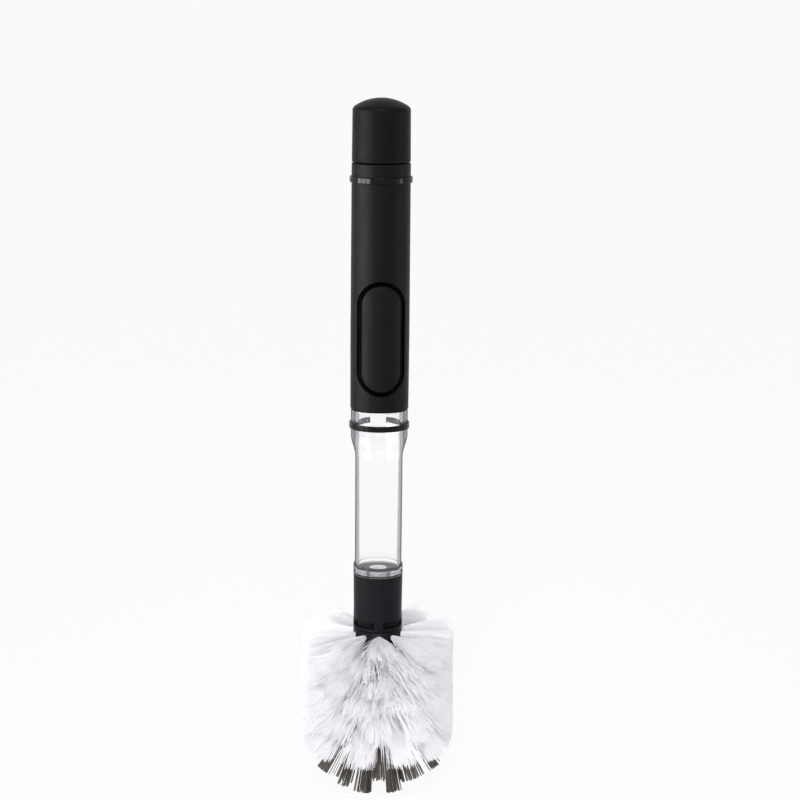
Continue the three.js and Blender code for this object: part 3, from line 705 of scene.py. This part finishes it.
reservoir_outline = softened([
    (SPIGOT_BORE, spigot_base), (SPIGOT_RADIUS, spigot_base), (SPIGOT_RADIUS, flange_base),
    (FLANGE_RADIUS, flange_base, 0.35), (FLANGE_RADIUS, groove_base, 0.3), (GROOVE_RADIUS, groove_base),
    (GROOVE_RADIUS, groove_top), (FLANGE_RADIUS, groove_top, 0.3), (FLANGE_RADIUS, flange_top, 0.5),
    (RESERVOIR_RADIUS, flange_top, 0.3),
], 4) + taper() + softened([
    (WIDE_RADIUS, taper_top + 3), (WIDE_RADIUS, shoulder, 0.4), (SOCKET_RADIUS, shoulder),
    (SOCKET_RADIUS, socket_top), (SOCKET_BORE, socket_top), (SOCKET_BORE, taper_top),
    (RESERVOIR_BORE, floor_top, 2.0), (OUTLET_RADIUS, floor_top, 0.2), (OUTLET_RADIUS, floor_under),
    (SPIGOT_BORE, floor_under),
], 6)
new_piece(
    "reservoir_moulding", turned(reservoir_outline, RESERVOIR_SEGMENTS), "handle",
    clear, ("reservoir",),
)

# Outlet valve with a crossed slit in its dished top, and its black seat

VALVE_NOSE = 4.5
VALVE_NOSE_RADIUS = 2.4
VALVE_SHOULDER_RADIUS = 5.1
VALVE_FLANGE = 1.3
VALVE_CROWN_RADIUS = 4.0
VALVE_DISH_RADIUS = 3.2
VALVE_DISH = 0.5
SLIT_REACH = 2.2
SLIT_HALF = 0.1
SLIT_DEPTH = 1.2
valve_low, valve_high = heights("slit_valve")
valve_radius = radius("slit_valve")
flange_low = valve_low + VALVE_NOSE
flange_high = flange_low + VALVE_FLANGE
valve_outline = softened([
    (0, valve_low), (VALVE_NOSE_RADIUS, valve_low, 0.4), (VALVE_SHOULDER_RADIUS, flange_low),
    (valve_radius, flange_low, 0.2), (valve_radius, flange_high, 0.2), (VALVE_CROWN_RADIUS, flange_high),
    (VALVE_CROWN_RADIUS, valve_high, 0.35), (VALVE_DISH_RADIUS, valve_high, 0.3),
    (0, valve_high - VALVE_DISH),
])
valve = new_piece(
    "valve_moulding", turned(valve_outline, SMALL_SEGMENTS), "handle", silicone,
    ("slit_valve",),
)
for reach_x, reach_y in ((SLIT_REACH, SLIT_HALF), (SLIT_HALF, SLIT_REACH)):
    low, high = valve_high - SLIT_DEPTH, valve_high + 1
    cut_away(valve, block((-reach_x, -reach_y, low), (reach_x, reach_y, high)))
seat_low, seat_high = heights("valve_seat")
seat_outline = softened([
    (OUTLET_RADIUS, seat_low, 0.2), (valve_radius, seat_low, 0.2), (valve_radius, seat_high, 0.2),
    (OUTLET_RADIUS, seat_high, 0.2),
])
new_piece(
    "seat_ring", turned(seat_outline, SMALL_SEGMENTS), "handle", liner_black,
    ("valve_seat",),
)

# Bands, open at the back

BAND_THICKNESS = 0.65
BAND_END = 160
BAND_STEPS = 160
for node in ("upper_band", "lower_band"):
    low, high = heights(node)
    outer = radius(node)
    inner = outer - BAND_THICKNESS
    outline = softened([(inner, low, 0.1), (outer, low, 0.6), (outer, high, 0.6), (inner, high, 0.1)], 6)
    loop = swept(outline, -BAND_END, BAND_END, BAND_STEPS)
    new_piece(f"{node}_loop", loop, "handle", band_black, (node,))

# Collar with its windows

COLLAR_TOP_RADIUS = 12.1
COLLAR_WAIST_RADIUS = 11.87
COLLAR_FOOT_RADIUS = 12.05
COLLAR_SOCKET = 10.2
COLLAR_BORE = 10.6
COLLAR_WEB_BORE = 6.5
WAIST_HEIGHT = 10.8
WAIST_ROUND = 14
WEB_TOP, WEB_UNDER = 12.2, 13.8  # below the collar's top
WINDOW_LOW, WINDOW_HIGH = 1.7, 4.9  # above the collar's foot
WINDOW_INNER, WINDOW_OUTER = 8.4, 20  # radii of the windows' cutter
WINDOW_COUNT = 4
WINDOW_BRIDGE = 21
collar_base, collar_top = heights("collar")
web_top, web_under = collar_top - WEB_TOP, collar_top - WEB_UNDER
window_low, window_high = collar_base + WINDOW_LOW, collar_base + WINDOW_HIGH
collar_outline = softened([
    (COLLAR_SOCKET, collar_base), (COLLAR_FOOT_RADIUS, collar_base, 0.3),
    (COLLAR_WAIST_RADIUS, collar_base + WAIST_HEIGHT, WAIST_ROUND),
    (COLLAR_TOP_RADIUS, collar_top, 0.25),
    (COLLAR_BORE, collar_top), (COLLAR_BORE, web_top), (COLLAR_WEB_BORE, web_top),
    (COLLAR_WEB_BORE, web_under), (COLLAR_SOCKET, web_under),
], 6)
collar = new_piece(
    "collar_moulding", turned(collar_outline, FINE_SEGMENTS), "handle", hard_black,
    ("collar",),
)
window_section = [
    (WINDOW_INNER, window_low), (WINDOW_OUTER, window_low), (WINDOW_OUTER, window_high),
    (WINDOW_INNER, window_high),
]
for i in range(WINDOW_COUNT):
    start = i * 360 / WINDOW_COUNT + WINDOW_BRIDGE / 2
    cut_away(collar, swept(window_section, start, start + 360 / WINDOW_COUNT - WINDOW_BRIDGE))
round_normals(collar)

# Brush head: core with raised tuft sockets

HEAD_TOP = 83.0
CORE = 11.9
CORE_BORE = 10.9
CORE_TIP_RADIUS, CORE_TIP_DROP = 2.4, 10.4
CORE_TIP_SLOPE, BORE_TIP_SLOPE = -78, -76
CORE_RIM, CORE_RIM_BEVEL = 0.1, 0.3
DOME = 50.0
FIRST_DROP = 2.8
LAST_SLOPE = 18.8
ROW_TILTS = (0, 7, 13.5, 21, 30, 40)
TUFTS_PER_ROW = 10
OUTER_GREY, INNER_GREY = len(ROW_TILTS), len(ROW_TILTS) + 1
# Row, slope of the core, tilt, count and start
GREY_RINGS = ((OUTER_GREY, 46, 53.6, 10, 0), (INNER_GREY, 66, 77.4, 5, -30))
# Distance from a hole's middle, and height over the core
SOCKET_SECTION = ((1.75, -0.25), (1.25, -0.25), (1.38, 0.12), (1.62, 0.12))
SOCKET_SIDES = 16
barrel = HEAD_TOP - DOME
row_pitch = (barrel + CORE * math.radians(LAST_SLOPE) - FIRST_DROP) / (len(ROW_TILTS) - 1)


def on_core(turn, drop):
    """Points of the core's surface at turning angles, these far down from its top edge."""
    slope = np.maximum(0, drop - barrel) / CORE
    r = CORE * np.cos(slope)
    z = HEAD_TOP - np.minimum(drop, barrel) - CORE * np.sin(slope)
    return np.stack([r * np.sin(turn), -r * np.cos(turn), z], -1)


def outward(turn, tilt):
    """Directions at turning angles, tilted below level."""
    return np.stack([np.sin(turn) * np.cos(tilt), -np.cos(turn) * np.cos(tilt), -np.sin(tilt)], -1)


def tuft_ring(row, drop, tilt, count, start):
    """Tufts of one row round the core."""
    turns = np.radians(start + 360 * np.arange(count) / count)
    shared = {"row": row, "drop": np.float64(drop), "tilt": math.radians(tilt)}
    return [{"turn": turn, **shared} for turn in turns]


tufts = []
for row, tilt in enumerate(ROW_TILTS):
    stagger = 180 / TUFTS_PER_ROW * (row % 2)
    tufts += tuft_ring(row, FIRST_DROP + row * row_pitch, tilt, TUFTS_PER_ROW, stagger)
for row, slope, tilt, count, start in GREY_RINGS:
    tufts += tuft_ring(row, barrel + CORE * math.radians(slope), tilt, count, start)


def socket(tuft):
    """Raised rim round a tuft's hole."""
    slope = max(0, tuft["drop"] - barrel) / CORE
    out = outward(tuft["turn"], slope)
    side = np.array([math.cos(tuft["turn"]), math.sin(tuft["turn"]), 0])
    up = np.cross(out, side)
    middle = on_core(tuft["turn"], tuft["drop"])
    rings = []
    for a in np.linspace(0, 2 * math.pi, SOCKET_SIDES, endpoint=False):
        away = side * math.cos(a) + up * math.sin(a)
        rings.append([middle + away * r + out * lift for r, lift in SOCKET_SECTION])
    return lofted(rings, closed=True)


def core_with_sockets():
    """The core's round-ended shell and the rims of all its tufts, in one mesh."""
    rim = HEAD_TOP - CORE_RIM
    verts, faces = turned(
        [(CORE_TIP_RADIUS, DOME - CORE_TIP_DROP)] + arc(0, DOME, CORE, CORE_TIP_SLOPE, 0, 16)
        + [(CORE, DOME + 12), (CORE, rim - CORE_RIM_BEVEL), (CORE - CORE_RIM_BEVEL, rim)]
        + [(CORE_BORE, rim)]
        + arc(0, DOME, CORE_BORE, 0, BORE_TIP_SLOPE, 8), SMALL_SEGMENTS)
    for tuft in tufts:
        ring, ring_faces = socket(tuft)
        first = len(verts)
        verts += ring
        faces += [tuple(first + corner for corner in face) for face in ring_faces]
    return verts, faces


new_piece("tuft_core", core_with_sockets(), "handle", hard_black, sharp=50)

# Bristles

HEAD_RADIUS = 37.75
HEAD_ROUND = 45.3
TUFT_SPREAD = 1.25
ROOT_DEPTH = 0.5
TIP_TAPER = 0.15
STRAND_RINGS = 3
WHITE_STRANDS, WHITE_SIDES = 280, 3
WHITE_RADIUS = 0.135
WHITE_BEND, WHITE_ARCH = 0.2, 0.3
WHITE_TONE, WHITE_TONE_RANGE = 0.6, 0.25
# Degrees sideways and down in each row: the narrower rows leave slits between their tufts
ROW_FANS = ((18, 9.5), (27, 11), (23.5, 10.6), (27, 11), (23.5, 10.6), (20, 10))
TOP_ROW_DROOP = 4.5
TUFT_LEAN = 0.012  # radians
LEAN_ACROSS, LEAN_DOWN = 1.05, 0.7  # degrees, of single strands
WHITE_CLUMPS = 14
CLUMP_PULL = (0.2, 0.55)
SPLAYED = 0.2
SPLAY_MORE = 2.2
TRIM_MIDDLE, TRIM_OF_TUFTS, TRIM_OF_STRANDS = -0.1, 0.22, 0.1
TRIM_LIMITS = (-0.9, 0.2)
GREY_STRANDS, GREY_SIDES = 34, 4
GREY_RADIUS = 0.3
GREY_BEND = 0.12
GREY_TONE, GREY_TONE_RANGE = 0.5, 0.3
GREY_TURN_LEAN, GREY_TILT_LEAN = 2.5, 1.5  # degrees, of whole tufts
GREY_LEAN_ACROSS, GREY_LEAN_DOWN = 0.6, 0.4  # degrees, of single strands
OUTER_GREY_FAN, INNER_GREY_FAN, GREY_FAN_DOWN = 8, 18, 3.2
OUTER_GREY_LENGTH = 35.3
GREY_TRIM_OF_TUFTS, GREY_TRIM_OF_STRANDS = 0.5, 0.12
LOWEST_TIP = 0.3
STRAY_BEND = 0.4
STRAY_TONE = 0.4


def strands(name, made, thick, sides, look, node):
    """One mesh of slightly bent strands, replacing a CAD bristle node."""
    roots, tips, bends, tones = (np.concatenate(part) for part in zip(*made))
    along = tips - roots
    along /= np.linalg.norm(along, axis=1, keepdims=True)
    helper = np.where(np.abs(along[:, 2:]) < 0.8, [[0.0, 0.0, 1.0]], [[1.0, 0.0, 0.0]])
    across = np.cross(along, helper)
    across /= np.linalg.norm(across, axis=1, keepdims=True)
    third = np.cross(along, across)
    verts = np.zeros((len(roots), STRAND_RINGS, sides, 3))
    for k, t in enumerate(np.linspace(0, 1, STRAND_RINGS)):
        middle = roots + (tips - roots) * t + bends * (4 * t * (1 - t))
        reach = thick * (1 - TIP_TAPER * t)
        for s, a in enumerate(np.linspace(0, 2 * math.pi, sides, endpoint=False)):
            verts[:, k, s] = middle + reach * (across * math.cos(a) + third * math.sin(a))
    one = lofted(verts[0])[1]
    per = STRAND_RINGS * sides
    faces = [tuple(corner + i * per for corner in face) for i in range(len(roots)) for face in one]
    piece = new_piece(name, (verts.reshape(-1, 3), faces), "handle", look, (node,), sharp=75)
    tone = piece.data.attributes.new("tone", "FLOAT", "POINT")
    tone.data.foreach_set("value", np.repeat(tones, per).astype(np.float32))


def tuft_roots(turn, drop, across, down):
    """Root points of a tuft's strands, from places in a square of side 2."""
    middle = on_core(turn, drop)
    around = math.hypot(middle[0], middle[1])
    u = across * np.sqrt(1 - down ** 2 / 2)
    v = down * np.sqrt(1 - across ** 2 / 2)
    return on_core(turn + u * TUFT_SPREAD / around, drop + v * TUFT_SPREAD)


def to_trim(roots, directions, trim):
    """Length at which strands meet the trimmed cylinder or, lower down, the trimmed ball."""
    a = directions[:, 0] ** 2 + directions[:, 1] ** 2
    b = roots[:, 0] * directions[:, 0] + roots[:, 1] * directions[:, 1]
    c = roots[:, 0] ** 2 + roots[:, 1] ** 2 - (HEAD_RADIUS + trim) ** 2
    side = (-b + np.sqrt(b * b - a * c)) / a
    centred = roots - np.array([0, 0, DOME])
    b = (centred * directions).sum(1)
    c = (centred ** 2).sum(1) - (HEAD_ROUND + trim) ** 2
    ball = -b + np.sqrt(b * b - c)
    low = roots[:, 2] + side * directions[:, 2] < DOME
    return np.where(low, np.minimum(side, ball), side)


def white_tuft(tuft, count=WHITE_STRANDS):
    """Roots, tips, bends and tones of a white tuft's strands, which lean together in clumps."""
    across, down = rng.uniform(-1, 1, (2, count))
    clump = rng.integers(0, WHITE_CLUMPS, count)
    pull = rng.uniform(*CLUMP_PULL, count)
    across += (across[clump] - across) * pull
    down += (down[clump] - down) * pull
    droop = TOP_ROW_DROOP if tuft["row"] == 0 else 0
    splayed = 0 if tuft["row"] == len(ROW_TILTS) - 1 else SPLAYED
    wide, high = ROW_FANS[tuft["row"]]
    turn = tuft["turn"] + rng.normal(0, TUFT_LEAN)
    tilt = tuft["tilt"] + rng.normal(0, TUFT_LEAN) + math.radians(droop)
    roots = tuft_roots(turn, tuft["drop"], across, down)
    # Some strands are splayed further down and sideways and veil the gaps between the tufts
    more = np.where(rng.uniform(0, 1, count) < splayed, SPLAY_MORE, 1)
    turns = turn + np.radians(across * wide * np.sqrt(more) + rng.normal(0, LEAN_ACROSS, count))
    lower = np.where(down > 0, down * more, down)
    tilts = tilt + np.radians(lower * high + rng.normal(0, LEAN_DOWN, count))
    directions = outward(turns, tilts)
    trim = rng.normal(TRIM_MIDDLE, TRIM_OF_TUFTS) + rng.normal(0, TRIM_OF_STRANDS, count)
    lengths = to_trim(roots, directions, np.clip(trim, *TRIM_LIMITS))
    tips = roots + directions * lengths[:, None]
    bends = rng.normal(0, WHITE_BEND, (count, 3)) + np.array([0, 0, WHITE_ARCH])
    tones = np.clip(rng.normal(WHITE_TONE, WHITE_TONE_RANGE, count), 0, 1)
    return roots - directions * ROOT_DEPTH, tips, bends, tones


def grey_tuft(tuft, count=GREY_STRANDS):
    """Roots, tips, bends and tones of a grey tuft's strands, cut off above the floor."""
    across, down = rng.uniform(-1, 1, (2, count))
    outer = tuft["row"] == OUTER_GREY
    fan = OUTER_GREY_FAN if outer else INNER_GREY_FAN
    turn = tuft["turn"] + math.radians(rng.normal(0, GREY_TURN_LEAN))
    tilt = tuft["tilt"] + math.radians(rng.normal(0, GREY_TILT_LEAN))
    roots = tuft_roots(turn, tuft["drop"], across, down)
    turns = turn + np.radians(across * fan + rng.normal(0, GREY_LEAN_ACROSS, count))
    tilts = tilt + np.radians(down * GREY_FAN_DOWN + rng.normal(0, GREY_LEAN_DOWN, count))
    directions = outward(turns, tilts)
    length = OUTER_GREY_LENGTH if outer else (roots[:, 2].mean() - LOWEST_TIP) / math.sin(tilt)
    lengths = length + rng.normal(0, GREY_TRIM_OF_TUFTS) + rng.normal(0, GREY_TRIM_OF_STRANDS, count)
    most = (roots[:, 2] - LOWEST_TIP) / np.sin(tilts)
    tips = roots + directions * np.minimum(lengths, most)[:, None]
    bends = rng.normal(0, GREY_BEND, (count, 3))
    tones = np.clip(rng.normal(GREY_TONE, GREY_TONE_RANGE, count), 0, 1)
    return roots - directions * ROOT_DEPTH, tips, bends, tones


def stray(root_turn, turns, tilts, lengths, bend):
    """A few strands of the top row that stick out of their tuft."""
    count = len(turns)
    places = rng.uniform(-1, 1, (2, count))
    roots = tuft_roots(math.radians(root_turn), np.float64(FIRST_DROP), *places)
    directions = outward(np.radians(turns), np.radians(tilts))
    tips = roots + directions * np.asarray(lengths)[:, None]
    bends = rng.normal(0, STRAY_BEND, (count, 3)) + np.asarray(bend)
    return roots, tips, bends, np.full(count, STRAY_TONE)


# Root's turn, strands' turns, tilts and lengths, and bend
strays = [
    stray(
        144, rng.uniform(116, 136, 10), rng.uniform(-26, -14, 10), rng.uniform(19, 25, 10), (0, 0, 0.8),
    ),
    stray(
        216, rng.uniform(205, 245, 10), rng.uniform(-15, -6, 10), rng.uniform(21, 26, 10), (0, 0, 0.6),
    ),
    stray(0, (-68, -74), (22, 30), (8.5, 7), (0, -1.6, 0)),
]
for part, rows in (("upper", (0, 1)), ("middle", (2, 3)), ("lower", (4, 5))):
    made = [white_tuft(tuft) for tuft in tufts if tuft["row"] in rows]
    if part == "upper":
        made += strays
    name, node = f"white_tufts_{part}", f"bristles_{part}"
    strands(name, made, WHITE_RADIUS, WHITE_SIDES, white_nylon, node)
made = [grey_tuft(tuft) for tuft in tufts if tuft["row"] in (OUTER_GREY, INNER_GREY)]
strands("grey_tufts_tip", made, GREY_RADIUS, GREY_SIDES, grey_nylon, "bristles_tip")

# Floor and light

FLOOR_REACH = 200000
FLOOR_COLOUR = (0.96, 0.96, 0.96, 1)
FLOOR_WHITE = 0.93
WORLD_LEVEL = 0.4


def seen_directly(tree):
    """1 for rays from the camera, off gloss or through clear pieces."""
    path = tree.nodes.new("ShaderNodeLightPath")
    total = path.outputs["Is Camera Ray"]
    for name in ("Is Glossy Ray", "Is Transmission Ray"):
        total = compute(tree, "MAXIMUM", total, path.outputs[name])
    return total


def pale_floor():
    """Pale floor that is nearly white where it is seen, and keeps the shadow."""
    made = bpy.data.materials.new("pale_floor")
    made.use_nodes = True
    tree = made.node_tree
    tree.nodes.clear()
    plain = tree.nodes.new("ShaderNodeBsdfDiffuse")
    plain.inputs["Color"].default_value = FLOOR_COLOUR
    white = tree.nodes.new("ShaderNodeEmission")
    share = compute(tree, "MULTIPLY", seen_directly(tree), FLOOR_WHITE)
    look = mixed(tree, share, plain.outputs["BSDF"], white.outputs["Emission"])
    tree.links.new(look, tree.nodes.new("ShaderNodeOutputMaterial").inputs["Surface"])
    return made


floor_corners = [(x * FLOOR_REACH, y * FLOOR_REACH, 0) for x, y in ((-1, -1), (1, -1), (1, 1), (-1, 1))]
floor = new_object("floor", new_mesh("floor", (floor_corners, [(0, 1, 2, 3)])))
floor.data.materials.append(pale_floor())

world = bpy.data.worlds.new("studio")
world.use_nodes = True
bpy.context.scene.world = world
sky = world.node_tree.nodes["Background"]
sky.inputs["Color"].default_value = (1, 1, 1, 1)
level = compute(
    world.node_tree, "MULTIPLY_ADD", seen_directly(world.node_tree), 1 - WORLD_LEVEL, WORLD_LEVEL,
)
world.node_tree.links.new(level, sky.inputs["Strength"])


def lamp(name, place, target, size, power, colour=(1, 1, 1), spread=180):
    """A soft rectangular lamp; places and sizes in metres, power in watts, spread in degrees."""
    data = bpy.data.lights.new(name, "AREA")
    data.shape = "RECTANGLE"
    data.size, data.size_y = size
    data.energy = power
    data.spread = math.radians(spread)
    data.color = colour
    made = new_object(name, data)
    made.location = place
    made.rotation_euler = (Vector(target) - Vector(place)).to_track_quat("-Z", "Y").to_euler()


BRUSH_MIDDLE, GRIP_AIM, HEAD_AIM = (0, 0, 0.2), (0, 0, 0.3), (0, 0, 0.03)
GRIP_LAMP_TURNS = (52, 70, 88)  # degrees to the left of the front
GRIP_LAMP_REACH, GRIP_LAMP_HEIGHT = 1.1, 0.17
GRIP_SPREAD, HEAD_SPREAD = 28, 16  # narrow, so that each lamp keeps to its part of the brush
WARM = (1, 0.985, 0.975)
lamp("key", (-0.97, -0.52, 0.4), BRUSH_MIDDLE, (0.3, 0.8), 0.5, WARM)
for turn in GRIP_LAMP_TURNS:
    a = math.radians(turn)
    place = (-GRIP_LAMP_REACH * math.sin(a), -GRIP_LAMP_REACH * math.cos(a), GRIP_LAMP_HEIGHT)
    lamp(f"grip_{turn}", place, GRIP_AIM, (0.3, 0.3), 0.15, (1, 0.965, 0.945), GRIP_SPREAD)
place = (1.06, -0.28, GRIP_LAMP_HEIGHT)
lamp("grip_right", place, GRIP_AIM, (0.15, 0.3), 0.035, (1, 0.965, 0.96), GRIP_SPREAD)
lamp("side", (-1.0, 0.46, 0.4), BRUSH_MIDDLE, (0.6, 0.9), 0.2, WARM)
lamp("fill", (0.93, -0.58, 0.4), BRUSH_MIDDLE, (0.2, 0.5), 0.3, (1, 0.975, 0.98))
lamp("front", (-0.1, -1.0, 0.95), (0, 0, 0.05), (0.5, 0.4), 9)
lamp("head", (-0.18, -1.1, 0.34), HEAD_AIM, (0.3, 0.25), 0.13, spread=HEAD_SPREAD)

# Camera at the photograph's angle: a long lens, looking a little down, with a hair of roll

VIEW_TURN = math.radians(-3.5)
PITCH = math.radians(10.53)
ROLL = math.radians(0.56)
CAMERA_PLACE = (10.03, -1053.35, 393.27)
camera_data = bpy.data.cameras.new("camera")
camera_data.lens = 99
camera_data.sensor_width = 36
camera_data.clip_start = 0.01
camera_data.clip_end = 1000
camera = new_object("camera", camera_data)
place = Matrix.Rotation(VIEW_TURN, 4, "Z") @ Matrix.Translation(Vector(CAMERA_PLACE) * MM)
aim = Matrix.Rotation(math.pi / 2 - PITCH, 4, "X") @ Matrix.Rotation(ROLL, 4, "Z")
camera.matrix_world = place @ aim
bpy.context.scene.camera = camera
bpy.context.scene.view_settings.view_transform = "Standard"
# Light passes on many times among the white strands
bpy.context.scene.cycles.max_bounces = 20
bpy.context.scene.cycles.diffuse_bounces = 16
bpy.context.scene.cycles.transmission_bounces = 20
